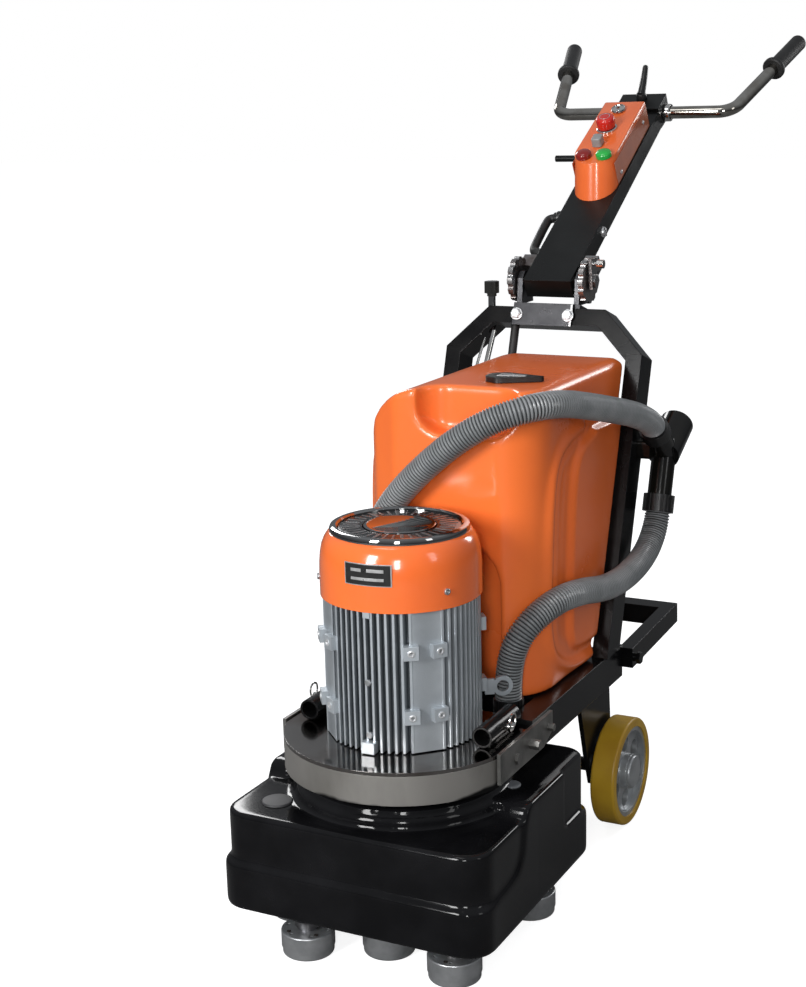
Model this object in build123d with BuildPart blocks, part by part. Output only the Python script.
"""Walk-behind floor grinder with four counter-turning heads.

Origin on the floor, below the middle of the machine.  +X is the
machine's right when seen from the front, +Y runs from the grinding
head towards the handles, +Z is up.  Sizes in millimetres.
"""
import math
import os

from build123d import *

os.makedirs("parts", exist_ok=True)


def save(name, *builders):
    """Write one node; its pieces stay separate solids."""
    if len(builders) == 1:
        piece = builders[0].part
    else:
        piece = Compound([s for b in builders for s in b.part.solids()])
    piece.label = name
    export_step(piece, "parts/" + name + ".step")


# ------------------------------------------------------ driving sizes
SHIFT = -550.35              # whole machine moved so Y=0 is its middle
HEAD_Y = -45.0 + SHIFT       # centre of the square head and motor
MODULE = 3.5
TEETH_SPINDLE = 58
TEETH_PINION = 24
C = MODULE * TEETH_SPINDLE / 2.0     # spindle offset in X and in Y
PUCK_PCR = 78.0              # pucks on this circle of each head
PUCK_R = 43.0
HEAD_ANGLE = {"a": -82.0, "b": -44.0, "c": -8.0, "d": 15.0}
HEAD_POS = {
    "a": (-C, HEAD_Y - C),
    "b": (C, HEAD_Y - C),
    "c": (C, HEAD_Y + C),
    "d": (-C, HEAD_Y + C),
}
RUN = 0.05                   # radial running clearance

HOOD_HALF = 236.0
HOOD_F = -264.0 + SHIFT
HOOD_B = 196.0 + SHIFT
MOTOR_R = 126.0
BAND_R = 196.0
PLATE_Z = 326.0
MOTOR_Z = 332.0

WHEEL_R = 100.0
WHEEL_X0 = 169.0
WHEEL_X1 = 215.0
AXLE_Y = 447.0 + SHIFT
AXLE_R = 12.5

RAIL_X0 = 150.0
RAIL_X1 = 190.0
RAIL_Z0 = 280.0
RAIL_Z1 = 340.0
RAIL_Y0 = 36.0 + SHIFT
RAIL_Y1 = 460.0 + SHIFT

LEAN = 18.23                 # posts lean back from vertical
ARCH_Y = 540.0 + SHIFT       # knee of the arch, front face
ARCH_Z = 864.0
TUBE_W = 30.0
TUBE_D = 60.0

TANK_X = 165.0
TANK_F = 110.0 + SHIFT
TANK_Z0 = 340.0
TANK_Z1 = 862.0

HINGE_Y = 596.0 + SHIFT
HINGE_Z = 988.0
ARM_TILT = 31.0              # arm above horizontal
ARM_HALF = 47.0
BAR_T = 579.0                # handlebar along the arm
BAR_N = -5.0
BAR_R = 12.5
BAR_WALL = 2.5
VALVE_X = -114.0
VALVE_Y = 572.0 + SHIFT
CUFF_R = 27.0
HOSE_R = 23.0

SL = math.sin(math.radians(LEAN))
CL = math.cos(math.radians(LEAN))
SA = math.sin(math.radians(ARM_TILT))
CA = math.cos(math.radians(ARM_TILT))


def arm_point(x, t, n):
    """Point from the arm hinge: x across, t along, n above the arm."""
    return Vector(x, HINGE_Y + t * CA - n * SA,
                  HINGE_Z + t * SA + n * CA)


def arm_plane(t=0.0, n=0.0):
    """Plane on the arm: local x across, local y along, z off it."""
    return Plane(origin=arm_point(0, t, n), x_dir=(1, 0, 0),
                 z_dir=(0, -SA, CA))


def arm_side(x):
    """Plane across the arm at x: local x along, local y up from it."""
    return Plane(origin=arm_point(x, 0, 0), x_dir=(0, CA, SA),
                 z_dir=(1, 0, 0))


def post_point(x, s, back=0.0):
    """Point of the leaning arch: s up the post, back behind its face."""
    return Vector(x, ARCH_Y + s * SL + back * CL,
                  ARCH_Z + s * CL - back * SL)


def yz(x):
    """Plane facing +X at x with local x along Y and local y along Z."""
    return Plane(origin=(x, 0, 0), x_dir=(0, 1, 0), z_dir=(1, 0, 0))


# ============================================================ the hood
def hood_shapes(off, z_low, z_skirt, z_tier, z_block):
    """Bodies of the moulded hood, shrunk by off for its inside."""
    half = HOOD_HALF - off
    y_f = HOOD_F + off
    y_b = HOOD_B - off
    with BuildPart() as shp:
        with BuildSketch(Plane.XY.offset(z_low)):
            with Locations((0, (y_f + y_b) / 2)):
                RectangleRounded(2 * half, y_b - y_f, 45 - off)
        extrude(amount=z_skirt - z_low)
        with BuildSketch(Plane.XY.offset(z_low)):
            with Locations((0, (y_f + 14 + y_b - 30) / 2)):
                RectangleRounded(2 * (half - 13), y_b - 30 - y_f - 14,
                                 70 - off)
        extrude(amount=z_tier - z_low)
        with BuildSketch(Plane.XY.offset(z_low)):
            with Locations((0, (HOOD_F + 158 + off + y_b) / 2)):
                RectangleRounded(2 * half, y_b - HOOD_F - 158 - off,
                                 40 - off)
        extrude(amount=z_block - z_low)
    return shp


with BuildPart() as hood:
    add(hood_shapes(0.0, 68, 142, 228, 250).part)
    for zz, rr in ((142, 5.0), (228, 7.0), (250, 14.0)):
        ring = hood.edges().filter_by(
            lambda e: abs(e.bounding_box().min.Z - zz) < 0.01
            and abs(e.bounding_box().max.Z - zz) < 0.01)
        try:
            fillet(ring, rr)
        except Exception:
            print("hood fillet skipped at", zz)
    with BuildSketch(Plane.XY.offset(200)):
        with Locations((0, HEAD_Y)):
            Circle(181)
    extrude(amount=47)
    with BuildSketch(Plane.XY.offset(200)):
        with Locations((0, HEAD_Y)):
            Circle(173)
    extrude(amount=63)
    add(hood_shapes(4.0, 60, 138, 222, 245).part, mode=Mode.SUBTRACT)
    with BuildSketch(Plane.XY.offset(196)):
        with Locations((0, HEAD_Y)):
            Circle(168)
    extrude(amount=62, mode=Mode.SUBTRACT)
    with BuildSketch(Plane.XY.offset(200)):
        with Locations((0, HEAD_Y)):
            Circle(123)
    extrude(amount=80, mode=Mode.SUBTRACT)
    with BuildSketch(Plane.XY.offset(250)):
        with Locations((-122, 96 + SHIFT), (122, 96 + SHIFT)):
            Circle(27)
    extrude(amount=40, mode=Mode.SUBTRACT)
    with BuildSketch(Plane.XY.offset(200)):
        with Locations((-122, 96 + SHIFT), (122, 96 + SHIFT)):
            Circle(20)
    extrude(amount=80, mode=Mode.SUBTRACT)
plugs = []
for tag, px, py in (("left", -172.0, -176.0), ("right", 197.0, -12.0)):
    pz = 228.0 if tag == "left" else 250.0
    with BuildPart() as plug:
        with BuildSketch(Plane.XY.offset(pz)):
            with Locations((px, py + SHIFT)):
                Circle(20 if tag == "left" else 17)
        extrude(amount=6)
        fillet(plug.faces().sort_by(Axis.Z)[-1].edges(), 4)
    plugs.append(plug)
save("hood", hood, *plugs)

# ========================================================== gear case
CASE = 209.0
with BuildPart() as gear_case:
    with BuildSketch(Plane.XY.offset(72)):
        with Locations((0, HEAD_Y)):
            RectangleRounded(2 * CASE + 8, 2 * CASE + 8, 111)
    extrude(amount=46)
    with BuildSketch(Plane.XY.offset(80)):
        with Locations((0, HEAD_Y)):
            RectangleRounded(2 * CASE, 2 * CASE, 107)
    extrude(amount=38, mode=Mode.SUBTRACT)
    with BuildSketch(Plane.XY.offset(60)):
        with Locations(*HEAD_POS.values()):
            Circle(40)
    extrude(amount=12.5)
    with BuildSketch(Plane.XY.offset(62)):
        with Locations(*HEAD_POS.values()):
            Circle(31)
    extrude(amount=14, mode=Mode.SUBTRACT)
    with BuildSketch(Plane.XY.offset(58)):
        with Locations(*HEAD_POS.values()):
            Circle(18)
    extrude(amount=24, mode=Mode.SUBTRACT)

with BuildPart() as gear_lid:
    with BuildSketch(Plane.XY.offset(118)):
        with Locations((0, HEAD_Y)):
            RectangleRounded(2 * CASE + 8, 2 * CASE + 8, 111)
            Circle(62, mode=Mode.SUBTRACT)
    extrude(amount=16)
    with BuildSketch(Plane.XY.offset(118)):
        with Locations(*HEAD_POS.values()):
            Circle(22)
    extrude(amount=12, mode=Mode.SUBTRACT)

with BuildPart() as bell:
    with BuildSketch(Plane.XY.offset(134)):
        with Locations((0, HEAD_Y)):
            Circle(135)
            Circle(62, mode=Mode.SUBTRACT)
    extrude(amount=10)
    with BuildSketch(Plane.XY.offset(134)):
        with Locations((0, HEAD_Y)):
            Circle(117)
            Circle(110, mode=Mode.SUBTRACT)
    extrude(amount=PLATE_Z - 134)
    with BuildSketch(Plane.XY.offset(PLATE_Z - 10)):
        with Locations((0, HEAD_Y)):
            Circle(126)
            Circle(110, mode=Mode.SUBTRACT)
    extrude(amount=10)
save("bell_housing", bell)


# ============================================================== gears
def gear_sketch(teeth, phase_deg, centre):
    """Spur gear outline with slightly thinned straight-sided teeth."""
    r_p = MODULE * teeth / 2.0
    r_o = r_p + MODULE * 0.95
    r_r = r_p - MODULE * 1.25
    pitch = 2 * math.pi / teeth
    half_p = pitch * 0.232
    tan20 = math.tan(math.radians(20.0))
    half_o = half_p - (r_o - r_p) * tan20 / r_p
    half_r = half_p + (r_p - r_r) * tan20 / r_p
    pts = []
    for i in range(teeth):
        a = math.radians(phase_deg) + i * pitch
        for r, da in ((r_r, -half_r), (r_p, -half_p), (r_o, -half_o),
                      (r_o, half_o), (r_p, half_p), (r_r, half_r)):
            pts.append((centre[0] + r * math.cos(a + da),
                        centre[1] + r * math.sin(a + da)))
    with BuildSketch(mode=Mode.PRIVATE) as sk:
        with BuildLine():
            Polyline(*pts, close=True)
        make_face()
    return sk.sketch


PS = 360.0 / TEETH_SPINDLE
PHASE = {"a": 0.0, "b": 180.0 + PS / 2, "c": 180.0, "d": PS / 2}
low_bearings = []
lid_bearings = []
for tag, pos in HEAD_POS.items():
    tall = tag in ("a", "c")
    face = gear_sketch(TEETH_SPINDLE, PHASE[tag], pos)
    with BuildPart() as spindle:
        with BuildSketch(Plane.XY.offset(83)):
            add(face)
        extrude(amount=32 if tall else 14)
        with BuildSketch(Plane.XY.offset(42)):
            with Locations(pos):
                Circle(15)
        extrude(amount=74)
        with BuildSketch(Plane.XY.offset(81)):
            with Locations(pos):
                Circle(24)
        extrude(amount=2)
        with BuildSketch(Plane.XY.offset(116)):
            with Locations(pos):
                Circle(12)
        extrude(amount=12)

    with BuildPart() as low_bearing:
        with BuildSketch(Plane.XY.offset(62)):
            with Locations(pos):
                Circle(31)
                Circle(15 + RUN, mode=Mode.SUBTRACT)
        extrude(amount=14)
    low_bearings.append(low_bearing)

    with BuildPart() as top_bearing:
        with BuildSketch(Plane.XY.offset(118.5)):
            with Locations(pos):
                Circle(22)
                Circle(12 + RUN, mode=Mode.SUBTRACT)
        extrude(amount=11.5)
    lid_bearings.append(top_bearing)

    spots = []
    for k in range(3):
        ang = math.radians(HEAD_ANGLE[tag] + 120 * k)
        spots.append((pos[0] + PUCK_PCR * math.cos(ang),
                      pos[1] + PUCK_PCR * math.sin(ang),
                      HEAD_ANGLE[tag] + 120 * k))
    with BuildPart() as head_plate:
        with BuildSketch(Plane.XY.offset(46)):
            with Locations(pos):
                Circle(36)
            for sx, sy, deg in spots:
                mid = ((pos[0] + sx) / 2, (pos[1] + sy) / 2)
                with Locations(Location((mid[0], mid[1], 0),
                                        (0, 0, deg))):
                    Rectangle(PUCK_PCR, 30)
                with Locations((sx, sy)):
                    Circle(21)
            with Locations(pos):
                Circle(15, mode=Mode.SUBTRACT)
        extrude(amount=10)
        with BuildSketch(Plane.XY.offset(40)):
            with Locations(*[(s[0], s[1]) for s in spots]):
                Circle(17)
        extrude(amount=6)
    save("spindle_" + tag, spindle, head_plate)

    with BuildPart() as holders:
        with BuildSketch(Plane.XY.offset(13)):
            with Locations(*[(s[0], s[1]) for s in spots]):
                Circle(PUCK_R)
        extrude(amount=27)
        rims = holders.edges().filter_by(GeomType.CIRCLE)
        fillet(rims.filter_by(lambda e: e.center().Z > 39), 2.5)
        with BuildSketch(Plane.XY.offset(34)):
            for sx, sy, deg in spots:
                for k in range(6):
                    a = math.radians(deg + 30 + 60 * k)
                    with Locations((sx + 34 * math.cos(a),
                                    sy + 34 * math.sin(a))):
                        Circle(2.8)
        extrude(amount=8, mode=Mode.SUBTRACT)

    with BuildPart() as pucks:
        with BuildSketch(Plane.XY):
            with Locations(*[(s[0], s[1]) for s in spots]):
                Circle(PUCK_R - 1.5)
        extrude(amount=13)
        rims = pucks.edges().filter_by(GeomType.CIRCLE)
        fillet(rims.filter_by(lambda e: e.center().Z < 1), 4)
    save("pucks_" + tag, holders, pucks)

save("gear_case", gear_case, *low_bearings)
save("gear_case_lid", gear_lid, *lid_bearings)

with BuildPart() as pinion:
    p_phase = 45.0 - 0.25 * 15.0
    with BuildSketch(Plane.XY.offset(101)):
        add(gear_sketch(TEETH_PINION, p_phase, (0, HEAD_Y)))
        with Locations((0, HEAD_Y)):
            Circle(16, mode=Mode.SUBTRACT)
    extrude(amount=14)

# ============================================================== motor
with BuildPart() as motor_base:
    with BuildSketch(Plane.XY.offset(MOTOR_Z)):
        with Locations((0, HEAD_Y)):
            Circle(110)
    extrude(amount=10)
    with BuildSketch(Plane.XY.offset(MOTOR_Z)):
        with Locations((0, HEAD_Y)):
            Circle(46)
    extrude(amount=32)
    with BuildSketch(Plane.XY.offset(MOTOR_Z + 10)):
        with Locations((0, HEAD_Y)):
            Circle(36)
    extrude(amount=22, mode=Mode.SUBTRACT)
    with BuildSketch(Plane.XY.offset(MOTOR_Z - 1)):
        with Locations((0, HEAD_Y)):
            Circle(22)
    extrude(amount=14, mode=Mode.SUBTRACT)

FIN_PITCH = 11.4
with BuildPart() as motor_housing:
    with BuildSketch(Plane.XY.offset(MOTOR_Z + 2)) as fin_sk:
        with Locations((0, HEAD_Y)):
            Circle(114)
        for turn in (0, 90, 180, 270):
            with Locations(Location((0, HEAD_Y, 0), (0, 0, turn))):
                for i in range(-6, 7):
                    with Locations((i * FIN_PITCH, 70)):
                        Rectangle(3.6, 160)
            with Locations(Location((0, HEAD_Y, 0),
                                    (0, 0, turn + 45))):
                with Locations((0, 90)):
                    Rectangle(52, 66)
        with Locations((0, HEAD_Y)):
            Circle(MOTOR_R, mode=Mode.INTERSECT)
            Circle(96, mode=Mode.SUBTRACT)
    extrude(amount=572 - MOTOR_Z - 2)
    with BuildSketch(Plane.XY.offset(MOTOR_Z + 1)):
        with Locations((0, HEAD_Y)):
            Circle(110)
    extrude(amount=9, mode=Mode.SUBTRACT)
    for zz in (384.0, 488.0):
        with BuildSketch(Plane.XY.offset(zz)):
            for turn in (-57, -37, 37, 57, 123, 143, 217, 237):
                a = math.radians(turn)
                with Locations(Location(
                        (125 * math.cos(a), HEAD_Y + 125 * math.sin(a),
                         0), (0, 0, turn))):
                    Rectangle(20, 24)
        extrude(amount=22)

with BuildPart() as motor_top:
    with BuildSketch(Plane.XY.offset(572)):
        with Locations((0, HEAD_Y)):
            Circle(112)
    extrude(amount=8)
    with BuildSketch(Plane.XY.offset(548)):
        with Locations((0, HEAD_Y)):
            Circle(42)
    extrude(amount=24)
    with BuildSketch(Plane.XY.offset(548)):
        with Locations((0, HEAD_Y)):
            Circle(31)
    extrude(amount=20, mode=Mode.SUBTRACT)
    with BuildSketch(Plane.XY.offset(546)):
        with Locations((0, HEAD_Y)):
            Circle(20)
    extrude(amount=36, mode=Mode.SUBTRACT)

with BuildPart() as stator:
    with BuildSketch(Plane.XY.offset(395)):
        with Locations((0, HEAD_Y)):
            Circle(95.9)
            Circle(62, mode=Mode.SUBTRACT)
    extrude(amount=130)
save("stator", stator)

motor_bearings = []
for z0, z1, r1, r0 in ((343.0, 363.0, 36.0, 19.0),
                       (549.0, 567.0, 31.0, 15.0)):
    with BuildPart() as motor_bearing:
        with BuildSketch(Plane.XY.offset(z0)):
            with Locations((0, HEAD_Y)):
                Circle(r1)
                Circle(r0 + RUN, mode=Mode.SUBTRACT)
        extrude(amount=z1 - z0)
    motor_bearings.append(motor_bearing)
save("motor_shields", motor_base, motor_top, *motor_bearings)

with BuildPart() as motor_shaft:
    for z0, z1, rr in ((98, 300, 16), (300, 545, 19), (545, 634, 15)):
        with BuildSketch(Plane.XY.offset(z0)):
            with Locations((0, HEAD_Y)):
                Circle(rr)
        extrude(amount=z1 - z0)

with BuildPart() as rotor_core:
    with BuildSketch(Plane.XY.offset(390)):
        with Locations((0, HEAD_Y)):
            Circle(60.5)
            Circle(19, mode=Mode.SUBTRACT)
    extrude(amount=140)
save("motor_rotor", motor_shaft, rotor_core, pinion)

with BuildPart() as fan:
    with BuildSketch(Plane.XY.offset(596)):
        with Locations((0, HEAD_Y)):
            Circle(98)
    extrude(amount=3)
    with BuildSketch(Plane.XY.offset(596)):
        with Locations((0, HEAD_Y)):
            Circle(30)
            for k in range(9):
                with Locations(Location((0, 0, 0), (0, 0, 40 * k))):
                    with Locations((60, 0)):
                        Rectangle(76, 4)
    extrude(amount=34)
    with BuildSketch(Plane.XY.offset(590)):
        with Locations((0, HEAD_Y)):
            Circle(15)
    extrude(amount=60, mode=Mode.SUBTRACT)
save("cooling_fan", fan)

AXIS_PLANE = Plane(origin=(0, HEAD_Y, 0), x_dir=(1, 0, 0),
                   z_dir=(0, -1, 0))
with BuildPart() as cowl:
    with BuildSketch(AXIS_PLANE):
        with BuildLine():
            Polyline((126.6, 562), (129.2, 562), (129.2, 606),
                     (127.5, 626), (123.0, 646), (114.5, 664),
                     (106.0, 664), (106.0, 661.5), (112.5, 661.5),
                     (120.3, 645), (124.8, 625.5), (126.6, 605.5),
                     close=True)
        make_face()
    revolve(axis=Axis((0, HEAD_Y, 0), (0, 0, 1)))
    with BuildSketch(Plane.XY.offset(572)):
        for turn in (45, 135, 225, 315):
            a = math.radians(turn)
            with Locations((119 * math.cos(a),
                            HEAD_Y + 119 * math.sin(a))):
                Circle(15)
        with Locations((0, HEAD_Y)):
            Circle(127, mode=Mode.SUBTRACT)
    extrude(amount=56)
save("cowl", cowl)

with BuildPart() as cowl_ring:
    with BuildSketch(Plane.XY.offset(664)):
        with Locations((0, HEAD_Y)):
            Circle(111.5)
            Circle(98, mode=Mode.SUBTRACT)
    extrude(amount=9)
    fillet(cowl_ring.faces().sort_by(Axis.Z)[-1].edges(), 3)

with BuildPart() as cowl_grille:
    with BuildSketch(Plane.XY.offset(664.5)):
        with Locations((0, HEAD_Y)):
            Circle(97.8)
            Circle(58, mode=Mode.SUBTRACT)
        for k in range(30):
            with Locations(Location((0, HEAD_Y, 0), (0, 0, 12 * k))):
                with Locations((78, 0)):
                    SlotOverall(26, 5, mode=Mode.SUBTRACT)
    extrude(amount=3.5)

with BuildPart() as cowl_badge:
    with BuildSketch(Plane.XY.offset(664.5)):
        with Locations((0, HEAD_Y)):
            Circle(57.8)
    extrude(amount=6)
    fillet(cowl_badge.faces().sort_by(Axis.Z)[-1].edges(), 1.5)
save("cowl_top", cowl_ring, cowl_grille, cowl_badge)

with BuildPart() as terminal_box:
    with BuildSketch(Plane.XY.offset(440)):
        with Locations((10, HEAD_Y + 138.5)):
            RectangleRounded(80, 23, 6)
    extrude(amount=84)

EYE_Z = 384.5
with BuildPart() as lifting_eye:
    with BuildSketch(Plane(origin=(106, HEAD_Y + 94, 0),
                           x_dir=(0.8, 0.6, 0),
                           z_dir=(0.6, -0.8, 0))):
        with Locations((24, EYE_Z)):
            Circle(17)
            Circle(10, mode=Mode.SUBTRACT)
        with Locations((2, EYE_Z)):
            Rectangle(16, 26)
    extrude(amount=7)
save("motor_housing", motor_housing, terminal_box, lifting_eye)

# ============================================================ chassis
with BuildPart() as band:
    with BuildSketch(Plane.XY.offset(278)):
        with Locations((0, -47 + SHIFT)):
            Circle(BAND_R)
            Circle(BAND_R - 7, mode=Mode.SUBTRACT)
        with Locations((0, 119.5 + SHIFT)):
            Rectangle(500, 431, mode=Mode.SUBTRACT)
    extrude(amount=PLATE_Z - 278)
save("front_band", band)

with BuildPart() as top_plate:
    with BuildSketch(Plane.XY.offset(PLATE_Z)):
        with Locations((0, -47 + SHIFT)):
            Circle(BAND_R)
        with Locations((0, 23.5 + SHIFT)):
            Rectangle(500, 239, mode=Mode.SUBTRACT)
        with Locations((0, -30 + SHIFT)):
            Rectangle(380, 132)
        with Locations((0, 50 + SHIFT)):
            Rectangle(300, 36)
        with Locations((0, HEAD_Y)):
            Circle(60, mode=Mode.SUBTRACT)
        with Locations((0, 230 + SHIFT)):
            Rectangle(500, 324, mode=Mode.SUBTRACT)
    extrude(amount=6)
save("motor_plate", top_plate)

side_plates = []
rails = []
posts = []
brackets = []
sockets = []
cuffs = []
for tag, sx in (("left", -1.0), ("right", 1.0)):
    with BuildPart() as side_plate:
        with BuildSketch(yz(190.0 * sx)):
            with BuildLine():
                Polyline((-104 + SHIFT, 284), (70 + SHIFT, 284),
                         (108 + SHIFT, 301), (108 + SHIFT, 335),
                         (-104 + SHIFT, 335), close=True)
            make_face()
        extrude(amount=6 * sx)
    side_plates.append(side_plate)

    with BuildPart() as side_bolts:
        for by, bz, br, bl in ((-40, 305, 9, 4), (15, 310, 8.5, 17),
                               (91, 312, 6.5, 10)):
            with BuildSketch(yz(196.0 * sx)):
                with Locations((by + SHIFT, bz)):
                    RegularPolygon(br, 6)
            extrude(amount=bl * sx)
    side_plates.append(side_bolts)

    with BuildPart() as rail:
        with BuildSketch(Plane(origin=(0, RAIL_Y0, 0), x_dir=(1, 0, 0),
                               z_dir=(0, -1, 0))):
            with Locations((sx * (RAIL_X0 + RAIL_X1) / 2,
                            (RAIL_Z0 + RAIL_Z1) / 2)):
                Rectangle(40, 60)
                Rectangle(34, 54, mode=Mode.SUBTRACT)
        extrude(amount=-(RAIL_Y1 - RAIL_Y0))
        for yy in (RAIL_Y0, RAIL_Y1 - 3):
            with BuildSketch(Plane(origin=(0, yy, 0), x_dir=(1, 0, 0),
                                   z_dir=(0, -1, 0))):
                with Locations((sx * (RAIL_X0 + RAIL_X1) / 2,
                                (RAIL_Z0 + RAIL_Z1) / 2)):
                    Rectangle(36, 56)
            extrude(amount=-3)
    rails.append(rail)

    with BuildPart() as post:
        with BuildSketch(Plane(origin=post_point(0, 0),
                               x_dir=(1, 0, 0), z_dir=(0, -CL, SL))):
            with Locations((sx * 180, -300)):
                Rectangle(TUBE_W, 600)
        extrude(amount=-TUBE_D)
        with BuildSketch(Plane.XY.offset(RAIL_Z1)):
            with Locations((sx * 180, ARCH_Y - 200)):
                Rectangle(200, 600)
        extrude(amount=-200, mode=Mode.SUBTRACT)
    posts.append(post)

    with BuildPart() as bracket:
        with BuildSketch(yz(156.0 * sx)):
            with BuildLine():
                Polyline((311 + SHIFT, 280), (460 + SHIFT, 280),
                         (472 + SHIFT, 150), (472 + SHIFT, 84),
                         (458 + SHIFT, 70), (432 + SHIFT, 70),
                         (372 + SHIFT, 96), (348 + SHIFT, 160),
                         close=True)
            make_face()
            with Locations((AXLE_Y, WHEEL_R)):
                Circle(AXLE_R, mode=Mode.SUBTRACT)
        extrude(amount=8 * sx)
    brackets.append(bracket)

    with BuildPart() as tyre:
        with BuildSketch(yz(WHEEL_X0 * sx)):
            with Locations((AXLE_Y, WHEEL_R)):
                Circle(WHEEL_R)
                Circle(84, mode=Mode.SUBTRACT)
        extrude(amount=(WHEEL_X1 - WHEEL_X0) * sx)
        outer = tyre.edges().filter_by(GeomType.CIRCLE).filter_by(
            lambda e: abs(e.radius - WHEEL_R) < 0.1)
        fillet(outer, 5)
    save("tyre_" + tag, tyre)

    with BuildPart() as hub:
        with BuildSketch(yz((WHEEL_X0 + 3) * sx)):
            with Locations((AXLE_Y, WHEEL_R)):
                Circle(84)
                Circle(76, mode=Mode.SUBTRACT)
        extrude(amount=40 * sx)
        with BuildSketch(yz((WHEEL_X0 + 10) * sx)):
            with Locations((AXLE_Y, WHEEL_R)):
                Circle(78)
                Circle(30, mode=Mode.SUBTRACT)
            for k in range(6):
                a = math.radians(60 * k + 30)
                with Locations((AXLE_Y + 54 * math.cos(a),
                                WHEEL_R + 54 * math.sin(a))):
                    Circle(17, mode=Mode.SUBTRACT)
        extrude(amount=22 * sx)
        with BuildSketch(yz((WHEEL_X0 + 2) * sx)):
            with Locations((AXLE_Y, WHEEL_R)):
                Circle(33)
                Circle(24, mode=Mode.SUBTRACT)
        extrude(amount=42 * sx)

    with BuildPart() as bearing:
        for x0 in (WHEEL_X0 + 3, WHEEL_X0 + 26):
            with BuildSketch(yz(x0 * sx)):
                with Locations((AXLE_Y, WHEEL_R)):
                    Circle(24)
                    Circle(AXLE_R + RUN, mode=Mode.SUBTRACT)
            extrude(amount=14 * sx)

    with BuildPart() as cap:
        with BuildSketch(yz((WHEEL_X0 + 44) * sx)):
            with Locations((AXLE_Y, WHEEL_R)):
                Circle(31)
        extrude(amount=8 * sx)
        edge = cap.faces().sort_by(Axis.X)[-1 if sx > 0 else 0]
        fillet(edge.edges(), 4)
        with BuildSketch(yz((WHEEL_X0 + 43) * sx)):
            with Locations((AXLE_Y, WHEEL_R)):
                Circle(20)
        extrude(amount=5 * sx, mode=Mode.SUBTRACT)
    save("wheel_hub_" + tag, hub, bearing, cap)

    with BuildPart() as socket:
        with BuildSketch(Plane(origin=(0, -85 + SHIFT, 0),
                               x_dir=(1, 0, 0), z_dir=(0, -1, 0))):
            with Locations((sx * 156, 350)):
                Circle(17)
                Circle(13.5, mode=Mode.SUBTRACT)
        extrude(amount=-115)
        with BuildSketch(Plane.XY.offset(MOTOR_Z)):
            with Locations((sx * 156, -27 + SHIFT)):
                Rectangle(16, 100)
        extrude(amount=2.2)
        with BuildSketch(yz(120 * sx)):
            with Locations((-24 + SHIFT, 350)):
                Circle(5 + RUN)
        extrude(amount=80 * sx, mode=Mode.SUBTRACT)
    sockets.append(socket)

    with BuildPart() as lock_pin:
        with BuildSketch(yz(135 * sx)):
            with Locations((-24 + SHIFT, 350)):
                Circle(5)
        extrude(amount=46 * sx)
        with BuildSketch(yz(176 * sx)):
            with Locations((-24 + SHIFT, 350)):
                Circle(8)
        extrude(amount=5 * sx)
        with BuildSketch(yz(181 * sx)):
            with Locations((-24 + SHIFT, 361)):
                Circle(13)
                Circle(10, mode=Mode.SUBTRACT)
        extrude(amount=2 * sx)
    save("lock_pin_" + tag, lock_pin)

    with BuildPart() as port:
        with BuildSketch(Plane.XY.offset(248)):
            with Locations((sx * 122, 96 + SHIFT)):
                Circle(19.5)
                Circle(16.5, mode=Mode.SUBTRACT)
        extrude(amount=102)
        with BuildSketch(Plane.XY.offset(250)):
            with Locations((sx * 122, 96 + SHIFT)):
                Circle(25)
                Circle(16.5, mode=Mode.SUBTRACT)
        extrude(amount=5)
    cuffs.append(port)

    with BuildPart() as cuff:
        with BuildSketch(Plane.XY.offset(316)):
            with Locations((sx * 122, 96 + SHIFT)):
                Circle(24.5)
            for k in range(16):
                a = math.radians(22.5 * k)
                with Locations(Location(
                        (sx * 122 + 24 * math.cos(a),
                         96 + SHIFT + 24 * math.sin(a), 0),
                        (0, 0, 22.5 * k))):
                    Rectangle(4, 3)
            with Locations((sx * 122, 96 + SHIFT)):
                Circle(19.5, mode=Mode.SUBTRACT)
        extrude(amount=34)
    cuffs.append(cuff)

save("side_plates", *side_plates)
save("wheel_sockets", *sockets)

with BuildPart() as axle:
    with BuildSketch(yz(-(WHEEL_X0 + 45))):
        with Locations((AXLE_Y, WHEEL_R)):
            Circle(AXLE_R)
    extrude(amount=2 * (WHEEL_X0 + 45))
save("wheel_axle", *brackets, axle)

CROSS_Z0 = 282.0
CROSS_H = 50.0
for y0 in (124.0, 400.0):
    with BuildPart() as cross:
        with BuildSketch(yz(-RAIL_X0)):
            with Locations((y0 + 16 + SHIFT, CROSS_Z0 + CROSS_H / 2)):
                Rectangle(32, CROSS_H)
                Rectangle(26, CROSS_H - 6, mode=Mode.SUBTRACT)
        extrude(amount=2 * RAIL_X0)
    rails.append(cross)

with BuildPart() as arch_head:
    with BuildSketch(Plane(origin=post_point(0, 0), x_dir=(1, 0, 0),
                           z_dir=(0, -CL, SL))):
        with BuildLine():
            Polyline((-195, 0), (-116, 80), (116, 80), (195, 0),
                     (165, 0), (165, -12), (104, 49), (-104, 49),
                     (-165, -12), (-165, 0), close=True)
        make_face()
    extrude(amount=-TUBE_D)
    with BuildSketch(Plane.XY.offset(880)):
        with Locations((VALVE_X, VALVE_Y)):
            Circle(7)
    extrude(amount=90, mode=Mode.SUBTRACT)
save("arch", arch_head, *posts)

with BuildPart() as tray:
    with BuildSketch(Plane.XY.offset(334)):
        with Locations((0, 256 + SHIFT)):
            Rectangle(2 * RAIL_X0 - 1, 230)
    extrude(amount=6)
    for y0 in (190.0, 320.0):
        with BuildSketch(Plane.XY.offset(300)):
            with Locations((0, y0 + SHIFT)):
                Rectangle(2 * RAIL_X0, 30)
        extrude(amount=34)
save("frame_rails", *rails, tray)

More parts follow.
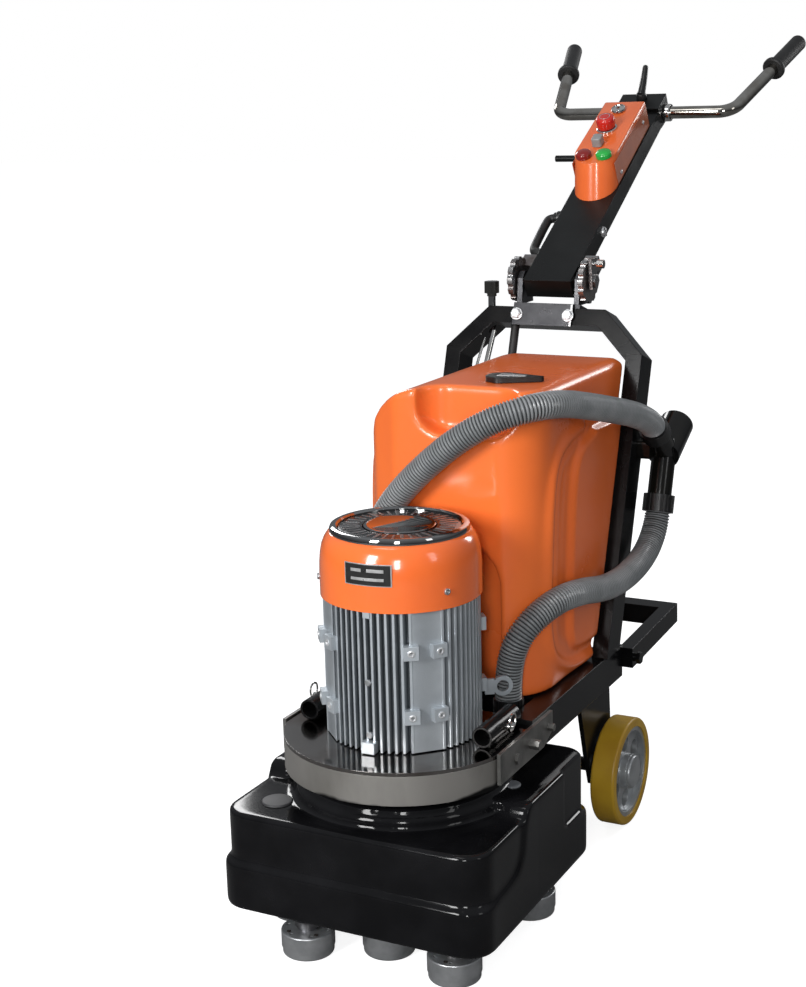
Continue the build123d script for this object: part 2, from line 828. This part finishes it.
# lift bar, a flat U behind the wheels, on a cross bolt
LB_Y = 482.0 + SHIFT
LB_Z = 311.0
LT = math.radians(3.0)


def lift_plane(z):
    """Plane parallel to the lift bar, z above its middle."""
    return Plane(origin=(0, LB_Y - z * math.sin(LT),
                         LB_Z + z * math.cos(LT)),
                 x_dir=(1, 0, 0),
                 z_dir=(0, -math.sin(LT), math.cos(LT)))


with BuildPart() as lift_bar:
    with BuildSketch(lift_plane(-19)):
        with Locations((0, 122)):
            Rectangle(410, 262)
        with Locations((0, 99)):
            Rectangle(358, 238, mode=Mode.SUBTRACT)
    extrude(amount=38)
    with BuildSketch(yz(-210)):
        with Locations((LB_Y, LB_Z)):
            Circle(8 + RUN)
    extrude(amount=420, mode=Mode.SUBTRACT)
save("lift_bar", lift_bar)

with BuildPart() as lift_pin:
    with BuildSketch(yz(-212)):
        with Locations((LB_Y, LB_Z)):
            Circle(8)
    extrude(amount=424)
    for x0 in (-219.0, 212.0):
        with BuildSketch(yz(x0)):
            with Locations((LB_Y, LB_Z)):
                RegularPolygon(12, 6)
        extrude(amount=7)
lugs = []
for sx in (-1.0, 1.0):
    with BuildPart() as lug:
        with BuildSketch(yz(165 * sx)):
            with BuildLine():
                Polyline((RAIL_Y1, 284), (LB_Y + 14, 296),
                         (LB_Y + 14, 326), (RAIL_Y1, 338), close=True)
            make_face()
            with Locations((LB_Y, LB_Z)):
                Circle(8, mode=Mode.SUBTRACT)
        extrude(amount=12 * sx)
    lugs.append(lug)
save("lift_lugs", lift_pin, *lugs)

# =============================================================== tank
HOLLOW_X = TANK_X - 15.0
with BuildPart() as tank_hollow:
    with BuildSketch(yz(-HOLLOW_X)):
        with BuildLine():
            Polyline((TANK_F + 56, TANK_Z0 + 8),
                     (358 + SHIFT, TANK_Z0 + 8),
                     (358 + SHIFT + 157, TANK_Z0 + 486),
                     (358 + SHIFT + 146, TANK_Z1 - 14),
                     (TANK_F + 56, TANK_Z1 - 14), close=True)
        make_face()
    extrude(amount=2 * HOLLOW_X)
    with BuildSketch(Plane.XY.offset(300)):
        with BuildLine():
            Polyline((-HOLLOW_X, 700), (-HOLLOW_X, TANK_F + 110),
                     (-HOLLOW_X + 50, TANK_F + 56),
                     (HOLLOW_X - 50, TANK_F + 56),
                     (HOLLOW_X, TANK_F + 110), (HOLLOW_X, 700),
                     close=True)
        make_face()
    extrude(amount=700, mode=Mode.INTERSECT)
    with BuildSketch(Plane(origin=(0, 0, 0), x_dir=(1, 0, 0),
                           z_dir=(0, -1, 0))):
        with BuildLine():
            Polyline((-HOLLOW_X, 300), (HOLLOW_X, 300),
                     (HOLLOW_X, 880), (-40, 880), (-116, 790),
                     (-HOLLOW_X, 680), close=True)
        make_face()
    extrude(amount=1200, both=True, mode=Mode.INTERSECT)

with BuildPart() as tank:
    with BuildSketch(yz(-TANK_X)):
        with BuildLine():
            Polyline((TANK_F, TANK_Z0), (367 + SHIFT, TANK_Z0),
                     (367 + SHIFT + 164.5, TANK_Z0 + 499.5),
                     (367 + SHIFT + 150, TANK_Z1 - 4),
                     (TANK_F - 8, TANK_Z1), close=True)
        make_face()
    extrude(amount=2 * TANK_X)
    with BuildSketch(Plane.XY.offset(300)):
        with BuildLine():
            Polyline((-TANK_X, 700), (-TANK_X, TANK_F + 95),
                     (-TANK_X + 95, TANK_F - 8),
                     (TANK_X - 95, TANK_F - 8),
                     (TANK_X, TANK_F + 95), (TANK_X, 700), close=True)
        make_face()
        fillet(vertices().filter_by(
            lambda v: v.Y < TANK_F + 100), 60)
    extrude(amount=700, mode=Mode.INTERSECT)
    with BuildSketch(Plane(origin=(0, 0, 0), x_dir=(1, 0, 0),
                           z_dir=(0, -1, 0))):
        with BuildLine():
            Polyline((-TANK_X, 300), (TANK_X, 300), (TANK_X, 880),
                     (-55, 880), (-130, 800), (-TANK_X, 700),
                     close=True)
        make_face()
        fillet(vertices().filter_by(
            lambda v: v.X < -50 and v.Y > 600), 40)
    extrude(amount=1200, both=True, mode=Mode.INTERSECT)
    tops = tank.edges().filter_by(
        lambda e: e.bounding_box().min.Z > TANK_Z1 - 12)
    try:
        fillet(tops, 8)
    except Exception:
        print("tank top fillet skipped")
    with BuildSketch(Plane(origin=(0, TANK_F + 40, 0),
                           x_dir=(1, 0, 0), z_dir=(0, -1, 0))):
        with Locations((35, 838)):
            RectangleRounded(196, 104, 42)
    extrude(amount=100, mode=Mode.SUBTRACT)
    # hollow for the water
    add(tank_hollow.part, mode=Mode.SUBTRACT)
    with BuildSketch(Plane.XY.offset(TANK_Z1 - 20)):
        with Locations((62, 215 + SHIFT)):
            Circle(22)
    extrude(amount=40, mode=Mode.SUBTRACT)
save("water_tank", tank)

with BuildPart() as lid:
    with BuildSketch(Plane.XY.offset(TANK_Z1)):
        with BuildLine():
            Polyline((38, 198 + SHIFT), (66, 184 + SHIFT),
                     (132, 222 + SHIFT), (134, 228 + SHIFT),
                     (62, 246 + SHIFT), (38, 232 + SHIFT), close=True)
        make_face()
        fillet(vertices().filter_by(lambda v: v.X < 100), 18)
    extrude(amount=9)
    with BuildSketch(Plane.XY.offset(TANK_Z1 - 5)):
        with Locations((62, 215 + SHIFT)):
            Circle(20)
    extrude(amount=5)
save("tank_lid", lid)

# ============================================ water valve on the arch
VX = VALVE_X
VY = VALVE_Y
with BuildPart() as valve_stem:
    with BuildSketch(Plane.XY.offset(915)):
        with Locations((VX, VY)):
            Circle(7)
    extrude(amount=42)

with BuildPart() as valve_knob:
    with BuildSketch(Plane.XY.offset(957)):
        with Locations((VX, VY)):
            Circle(9)
    extrude(amount=6)
    with BuildSketch(Plane.XY.offset(963)):
        with Locations((VX, VY)):
            Circle(13)
        for k in range(10):
            a = math.radians(36 * k)
            with Locations((VX + 12 * math.cos(a),
                            VY + 12 * math.sin(a))):
                Circle(2.2)
    extrude(amount=22)
save("valve_knob", valve_knob)

rods = []
for rx, ry, rr in ((-125.0, 562.0, 2.6), (-106.0, 562.0, 5.0)):
    with BuildPart() as rod:
        top = Vector(rx, ry + SHIFT, 879 if rr < 4 else 893)
        low = Vector(rx - 5, ry + SHIFT - 30, 828)
        with BuildLine() as ln:
            Line(low, top)
        with BuildSketch(Plane(origin=low, z_dir=(top - low))):
            Circle(rr)
        sweep()
    rods.append(rod)
save("water_pipes", valve_stem, *rods)

# ================================================== hinge on the arch
with BuildPart() as hinge_mount:
    beam = Plane(origin=post_point(0, 80), x_dir=(1, 0, 0),
                 z_dir=(0, SL, CL))
    with BuildSketch(beam):
        with Locations((0, 30)):
            Rectangle(130, 56)
    extrude(amount=8)
    with BuildSketch(Plane(origin=post_point(0, 0, -5),
                           x_dir=(1, 0, 0), z_dir=(0, -CL, SL))):
        with Locations((-5, 66)):
            Rectangle(118, 42)
    extrude(amount=-5)
    for x0 in (-62.0, 52.0):
        with BuildSketch(yz(x0)):
            with BuildLine():
                Polyline((HINGE_Y - 26, 944), (HINGE_Y + 30, 944),
                         (HINGE_Y + 20, 992), (HINGE_Y + 10, 1004),
                         (HINGE_Y - 10, 1004), (HINGE_Y - 20, 992),
                         close=True)
            make_face()
            with Locations((HINGE_Y, HINGE_Z)):
                Circle(8.1, mode=Mode.SUBTRACT)
        extrude(amount=10)

with BuildPart() as hinge_pin:
    with BuildSketch(yz(-80)):
        with Locations((HINGE_Y, HINGE_Z)):
            Circle(8)
    extrude(amount=160)
    for x0 in (-88.0, 80.0):
        with BuildSketch(yz(x0)):
            with Locations((HINGE_Y, HINGE_Z)):
                RegularPolygon(13, 6)
        extrude(amount=8)

with BuildPart() as mount_bolts:
    for bx in (-56.0, 46.0):
        with BuildSketch(Plane(origin=post_point(0, 0, -5),
                               x_dir=(1, 0, 0), z_dir=(0, -CL, SL))):
            with Locations((bx, 65)):
                RegularPolygon(9, 6)
        extrude(amount=7)
save("hinge_mount", hinge_mount, mount_bolts)

PLUNGE_A = math.radians(104.0)
INDEX_LEANS = (-20.0, 0.0, 25.0)
PLY = HINGE_Y + 33 * math.cos(PLUNGE_A)
PLZ = HINGE_Z + 33 * math.sin(PLUNGE_A)
discs = []
for x0, x1 in ((-75.0, -65.0), (65.0, 75.0)):
    with BuildPart() as disc:
        with BuildSketch(yz(x0)):
            with Locations((HINGE_Y, HINGE_Z)):
                Circle(42)
            for k in range(12):
                a = math.radians(30 * k + 15)
                with Locations((HINGE_Y + 44 * math.cos(a),
                                HINGE_Z + 44 * math.sin(a))):
                    Circle(6, mode=Mode.SUBTRACT)
            for lean in INDEX_LEANS:
                a = PLUNGE_A - math.radians(lean)
                with Locations((HINGE_Y + 33 * math.cos(a),
                                HINGE_Z + 33 * math.sin(a))):
                    Circle(3.6, mode=Mode.SUBTRACT)
            with Locations((HINGE_Y, HINGE_Z)):
                Circle(8 + RUN, mode=Mode.SUBTRACT)
        extrude(amount=x1 - x0)
    discs.append(disc)

with BuildPart() as plunger_block:
    with BuildSketch(yz(78.5)):
        with BuildLine():
            Polyline((HINGE_Y - 15, HINGE_Z - 15),
                     (HINGE_Y + 15, HINGE_Z - 15),
                     (HINGE_Y + 8, PLZ + 11), (PLY - 12, PLZ + 11),
                     close=True)
        make_face()
        with Locations((HINGE_Y, HINGE_Z)):
            RegularPolygon(13.2, 6, mode=Mode.SUBTRACT)
        with Locations((PLY, PLZ)):
            Circle(3.5 + RUN, mode=Mode.SUBTRACT)
    extrude(amount=6)
save("hinge_pin", hinge_pin, plunger_block)

with BuildPart() as plunger:
    with BuildSketch(yz(75.5)):
        with Locations((PLY, PLZ)):
            Circle(3.5)
    extrude(amount=24.5)
    with BuildSketch(yz(92)):
        with Locations((PLY, PLZ)):
            Circle(8)
    extrude(amount=12)
save("index_plunger", plunger)

# ================================================================ arm
with BuildPart() as arm_tube:
    with BuildSketch(Plane(origin=arm_point(0, -26, -1.5),
                           x_dir=(1, 0, 0), z_dir=(0, -CA, -SA))):
        Rectangle(2 * ARM_HALF, 38)
        Rectangle(2 * ARM_HALF - 8, 30, mode=Mode.SUBTRACT)
    extrude(amount=-574)
    with BuildSketch(Plane(origin=arm_point(0, -26, -1.5),
                           x_dir=(1, 0, 0), z_dir=(0, -CA, -SA))):
        Rectangle(2 * ARM_HALF, 38)
    extrude(amount=-4)
    with BuildSketch(yz(-64.9)):
        with Locations((HINGE_Y, HINGE_Z)):
            Circle(8 + RUN)
    extrude(amount=130, mode=Mode.SUBTRACT)

# clevis sleeve that ties the two index discs to the arm
with BuildPart() as disc_tie:
    for sx in (-1.0, 1.0):
        with BuildSketch(arm_side(sx * 47.0)):
            with Locations((42, -1.5)):
                Rectangle(34, 30)
        extrude(amount=18 * sx)
        with BuildSketch(arm_side(sx * 65.0)):
            with Locations((34, -1.5)):
                Rectangle(50, 30)
        extrude(amount=10 * sx)
        with BuildSketch(yz(sx * 64.9)):
            with Locations((HINGE_Y, HINGE_Z)):
                Circle(42.05)
        extrude(amount=11 * sx, mode=Mode.SUBTRACT)
save("index_discs", disc_tie, *discs)

with BuildPart() as arm_bolt:
    with BuildSketch(arm_side(47)):
        with Locations((159.6, -5)):
            Circle(9)
    extrude(amount=5)

BOX_W = 43.0
BOX_T0 = 262.0
BOX_T1 = 498.0
BOX_N0 = 84.0
BOX_N1 = 62.0
PANEL = math.degrees(math.atan2(BOX_N0 - BOX_N1, BOX_T1 - BOX_T0))
with BuildPart() as control_box:
    with BuildSketch(arm_plane(0, 17.5)):
        with BuildLine():
            Polyline((-BOX_W, BOX_T1), (-BOX_W, BOX_T0 + 22),
                     (-30, BOX_T0 - 2), (0, BOX_T0 - 12),
                     (30, BOX_T0 - 2), (BOX_W, BOX_T0 + 22),
                     (BOX_W, BOX_T1), close=True)
        make_face()
        fillet(vertices().filter_by(lambda v: v.Y < BOX_T0 + 30), 20)
    extrude(amount=110)
    with BuildSketch(arm_side(-100)):
        with BuildLine():
            Polyline((BOX_T0 - 60, 10), (BOX_T1 + 10, 10),
                     (BOX_T1 + 10, BOX_N1), (BOX_T0 - 60, BOX_N0 + 6),
                     close=True)
        make_face()
    extrude(amount=200, mode=Mode.INTERSECT)
    fillet(control_box.edges().filter_by(
        lambda e: (e.center() - arm_point(e.center().X, 0, 0)).dot(
            Vector(0, -SA, CA)) > 58), 4)
    with BuildSketch(arm_plane(0, 17.5)):
        with Locations((0, (BOX_T0 + BOX_T1) / 2 + 12)):
            Rectangle(2 * BOX_W - 6, BOX_T1 - BOX_T0 - 36)
    extrude(amount=36, mode=Mode.SUBTRACT)
cheeks = []
for sx in (-1.0, 1.0):
    with BuildPart() as cheek:
        with BuildSketch(arm_side(sx * BOX_W)):
            with BuildLine():
                Polyline((BOX_T0 + 26, 18), (BOX_T1 - 2, 18),
                         (BOX_T1 - 2, 50), (BOX_T0 + 26, 68),
                         close=True)
            make_face()
        extrude(amount=3 * sx)
    cheeks.append(cheek)
save("control_box", control_box, *cheeks)


def panel_plane(t, x=0.0, up=0.0):
    """Plane on the sloping control panel at t along the arm."""
    frac = (t - (BOX_T0 - 60)) / (BOX_T1 + 10 - (BOX_T0 - 60))
    n = BOX_N0 + 6 + frac * (BOX_N1 - BOX_N0 - 6)
    tilt = math.atan2(BOX_N1 - BOX_N0 - 6, BOX_T1 + 70 - BOX_T0)
    a = math.radians(ARM_TILT) + tilt
    nrm = Vector(0, -math.sin(a), math.cos(a))
    org = arm_point(x, t, n) + nrm * up
    return Plane(origin=org, x_dir=(1, 0, 0), z_dir=nrm)


def knob(t, x, up, parts):
    """Stack of round steps standing on the panel."""
    with BuildPart() as k:
        for z0, z1, rr in parts:
            with BuildSketch(panel_plane(t, x, up + z0)):
                Circle(rr)
            extrude(amount=z1 - z0)
    return k


estop_collar = knob(402, -4, 0.0, ((0, 8, 20), (8, 13, 15)))
selector_base = knob(334, -4, 0.0, ((0, 5, 14),))
red_bezel = knob(282, -21, 0.0, ((0, 5, 15),))
green_bezel = knob(284, 20, 0.0, ((0, 5, 15),))
key_rosette = knob(462, -2, 0.0, ((0, 4, 11),))
save("panel_fittings", estop_collar, selector_base, red_bezel,
     green_bezel, key_rosette)
save("estop_button", knob(402, -4, 19.0, ((0, 14, 20.5),)))
save("red_button", knob(282, -21, 8.0, ((0, 8, 13.5),)))
save("green_button", knob(284, 20, 8.0, ((0, 8, 13.5),)))

with BuildPart() as selector:
    with BuildSketch(panel_plane(334, -4, 5.3)):
        Circle(12)
    extrude(amount=8)
    with BuildSketch(panel_plane(334, -4, 13.3)):
        RectangleRounded(10, 24, 3)
    extrude(amount=10)
save("selector_knob", selector)

with BuildPart() as clamp_box:
    with BuildSketch(arm_side(-ARM_HALF)):
        with BuildLine():
            Polyline((548, -22), (606, -26), (606, 24), (548, 24),
                     close=True)
        make_face()
        with Locations((BAR_T, BAR_N)):
            Circle(BAR_R + RUN, mode=Mode.SUBTRACT)
    extrude(amount=2 * ARM_HALF)
    with BuildSketch(arm_plane(BAR_T + 8, 10)):
        Circle(6 + RUN)
    extrude(amount=20, mode=Mode.SUBTRACT)
collars = []
for sx in (-1.0, 1.0):
    with BuildPart() as collar:
        with BuildSketch(arm_side(sx * ARM_HALF)):
            with Locations((BAR_T, BAR_N)):
                Circle(17)
                Circle(BAR_R + RUN, mode=Mode.SUBTRACT)
        extrude(amount=14 * sx)
    collars.append(collar)

with BuildPart() as clamp_lever:
    with BuildSketch(arm_plane(BAR_T + 8, 11)):
        Circle(6)
    extrude(amount=13.3)
    with BuildSketch(arm_plane(BAR_T + 8, 24.3)):
        Circle(10)
    extrude(amount=14)
    with BuildSketch(Plane(origin=arm_point(0, BAR_T + 8, 36),
                           x_dir=(1, 0, 0),
                           z_dir=(0, 0.42, 0.91))):
        SlotOverall(14, 12)
    extrude(amount=66, taper=3)
save("clamp_lever", clamp_lever)

with BuildPart() as box_knuckle:
    with BuildSketch(arm_side(-34)):
        with Locations((522, 34)):
            Circle(16)
    extrude(amount=36)
    with BuildSketch(arm_side(-34)):
        with Locations((522, 24)):
            Rectangle(26, 13)
    extrude(amount=36)
save("handlebar_clamp", clamp_box, box_knuckle, *collars)

# handlebar: straight middle, two bends, grips rising to the rear
BY = arm_point(0, BAR_T, BAR_N).Y
BZ = arm_point(0, BAR_T, BAR_N).Z
print("bar centre", round(BY, 2), round(BZ, 2))
GX = 255.0
GY = BY + 262.0
GZ = BZ + 137.0
NX = 190.0
with BuildPart() as handlebar:
    with BuildLine() as bar_line:
        FilletPolyline((-GX, GY, GZ), (-NX, BY, BZ), (NX, BY, BZ),
                       (GX, GY, GZ), radius=38)
    start = Vector(-GX, GY, GZ)
    heading = (Vector(-NX, BY, BZ) - start).normalized()
    with BuildSketch(Plane(origin=start, z_dir=heading)):
        Circle(BAR_R)
        Circle(BAR_R - BAR_WALL, mode=Mode.SUBTRACT)
    sweep()
save("handlebar", handlebar)

grips = []
for sx in (-1.0, 1.0):
    tip = Vector(sx * GX, GY, GZ)
    knee = Vector(sx * NX, BY, BZ)
    way = (knee - tip).normalized()
    with BuildPart() as grip:
        with BuildSketch(Plane(origin=tip - way * 6, z_dir=way)):
            Circle(17)
        extrude(amount=116)
        with BuildSketch(Plane(origin=tip + way * 110, z_dir=way)):
            Circle(24)
        extrude(amount=12)
        with BuildSketch(Plane(origin=tip, z_dir=way)):
            Circle(BAR_R)
        extrude(amount=140, mode=Mode.SUBTRACT)
        fillet(grip.edges().filter_by(GeomType.CIRCLE).filter_by(
            lambda e: abs(e.radius - 17) < 0.1
            and (e.center() - tip).length < 20), 8)
        fillet(grip.edges().filter_by(GeomType.CIRCLE).filter_by(
            lambda e: abs(e.radius - 24) < 0.1), 4)
    grips.append(grip)
save("grips", *grips)

# side rod and cable conduit on the arm's left
with BuildPart() as side_rod:
    with BuildSketch(yz(-ARM_HALF)):
        with Locations((arm_point(0, 404, 0).Y, arm_point(0, 404, 0).Z)):
            Circle(6.5)
    extrude(amount=-86)
save("arm_tube", arm_tube, arm_bolt, side_rod)

with BuildPart() as conduit:
    with BuildLine():
        FilletPolyline(arm_point(-47, 196, 0), arm_point(-76, 196, 0),
                       arm_point(-76, 82, 0), arm_point(-47, 82, 0),
                       radius=20)
    with BuildSketch(Plane(origin=arm_point(-47, 196, 0),
                           z_dir=(-1, 0, 0))):
        Circle(7)
    sweep()
save("arm_conduit", conduit)

with BuildPart() as motor_cable:
    with BuildLine():
        FilletPolyline(post_point(-72, 48.9, 32), post_point(-72, -60, 32),
                       post_point(-98, -220, 30),
                       post_point(-98, -400, 30), radius=60)
    with BuildSketch(Plane(origin=post_point(-72, 48.9, 32),
                           z_dir=(0, -SL, -CL))):
        Circle(8)
    sweep()
save("motor_cable", motor_cable)

# ================================================= Y fitting and cuffs
JX = 228.0
JY = 574.0 + SHIFT
JZ = 684.0
UP_DIR = Vector(-0.02, -0.74, 0.67).normalized()
DN_DIR = Vector(0, -SL, -CL)
RE_DIR = Vector(0, 0.885, 0.465).normalized()
J = Vector(JX, JY, JZ)
with BuildPart() as y_fitting:
    with BuildSketch(Plane(origin=J + DN_DIR * 4, z_dir=DN_DIR)):
        Circle(22)
    extrude(amount=88)
    with BuildSketch(Plane(origin=J - RE_DIR * 12, z_dir=RE_DIR)):
        Circle(31)
    extrude(amount=92)
    with BuildSketch(Plane(origin=J, z_dir=UP_DIR)):
        Circle(24)
    extrude(amount=58)
    with BuildSketch(yz(195.2)):
        with Locations((536 + SHIFT, 694)):
            RectangleRounded(40, 34, 6)
    extrude(amount=24)
    with BuildSketch(Plane(origin=J - RE_DIR * 4, z_dir=RE_DIR)):
        Circle(28)
    extrude(amount=100, mode=Mode.SUBTRACT)
    with BuildSketch(Plane(origin=J, z_dir=DN_DIR)):
        Circle(19)
    extrude(amount=100, mode=Mode.SUBTRACT)
    with BuildSketch(Plane(origin=J, z_dir=UP_DIR)):
        Circle(20)
    extrude(amount=100, mode=Mode.SUBTRACT)
save("y_fitting", y_fitting)

for tag, way, d0, ln in (("low", DN_DIR, 82.0, 32.0),
                         ("up", UP_DIR, 54.0, 26.0)):
    with BuildPart() as y_cuff:
        with BuildSketch(Plane(origin=J + way * d0, z_dir=way)):
            Circle(CUFF_R)
            if tag == "low":
                for k in range(18):
                    a = math.radians(20 * k)
                    with Locations(Location(
                            (CUFF_R * math.cos(a),
                             CUFF_R * math.sin(a), 0),
                            (0, 0, 20 * k))):
                        Rectangle(3, 4)
        extrude(amount=ln)
        with BuildSketch(Plane(origin=J + way * (d0 - 1), z_dir=way)):
            Circle(22 if tag == "low" else 24)
        extrude(amount=11 if tag == "low" else 5, mode=Mode.SUBTRACT)
        with BuildSketch(Plane(origin=J + way * (d0 - 1), z_dir=way)):
            Circle(19)
        extrude(amount=ln + 2, mode=Mode.SUBTRACT)
    cuffs.append(y_cuff)
save("hose_cuffs", *cuffs)

UP_END = J + UP_DIR * 80.0
DN_END = J + DN_DIR * 114.0
print("hose ends", UP_END, DN_END)


def hose_points(kind):
    """Corner points of each free hose, from its hood cuff up."""
    if kind == "upper":
        raw = [(-122, 96, 350), (-122, 95, 500), (-117, 86, 620),
               (-45, 76, 712), (78, 72, 812), (184, 126, 848),
               (201, 320, 806)]
        last = UP_END
        lead = UP_END + UP_DIR * 34
    else:
        raw = [(122, 96, 350), (123, 92, 415), (150, 108, 478),
               (192, 184, 516), (219, 350, 482)]
        last = DN_END
        lead = DN_END + DN_DIR * 62
    pts = [Vector(p[0], p[1] + SHIFT, p[2]) for p in raw]
    return pts + [lead, last]


def path_radii(pts):
    """Arc radius at each corner: 0.45 of the shorter run."""
    radii = []
    for i in range(1, len(pts) - 1):
        a = pts[i] - pts[i - 1]
        b = pts[i + 1] - pts[i]
        turn = a.get_angle(b)
        run = min(a.length, b.length)
        radii.append(0.45 * run / math.tan(math.radians(turn) / 2))
    return radii


for kind in ("upper", "lower"):
    pts = hose_points(kind)
    radii = path_radii(pts)
    print(kind, "radii", [round(r) for r in radii])
    with BuildPart() as hose:
        with BuildLine() as line:
            FilletPolyline(*pts, radius=radii)
        with BuildSketch(Plane(origin=pts[0], z_dir=(0, 0, 1))):
            Circle(HOSE_R)
        sweep()
    length = sum(e.length for e in line.edges())
    ratio = hose.part.volume / (length * math.pi * HOSE_R ** 2)
    print(kind, "length", round(length, 1), "volume ratio",
          round(ratio, 4))
    save("hose_" + kind, hose)
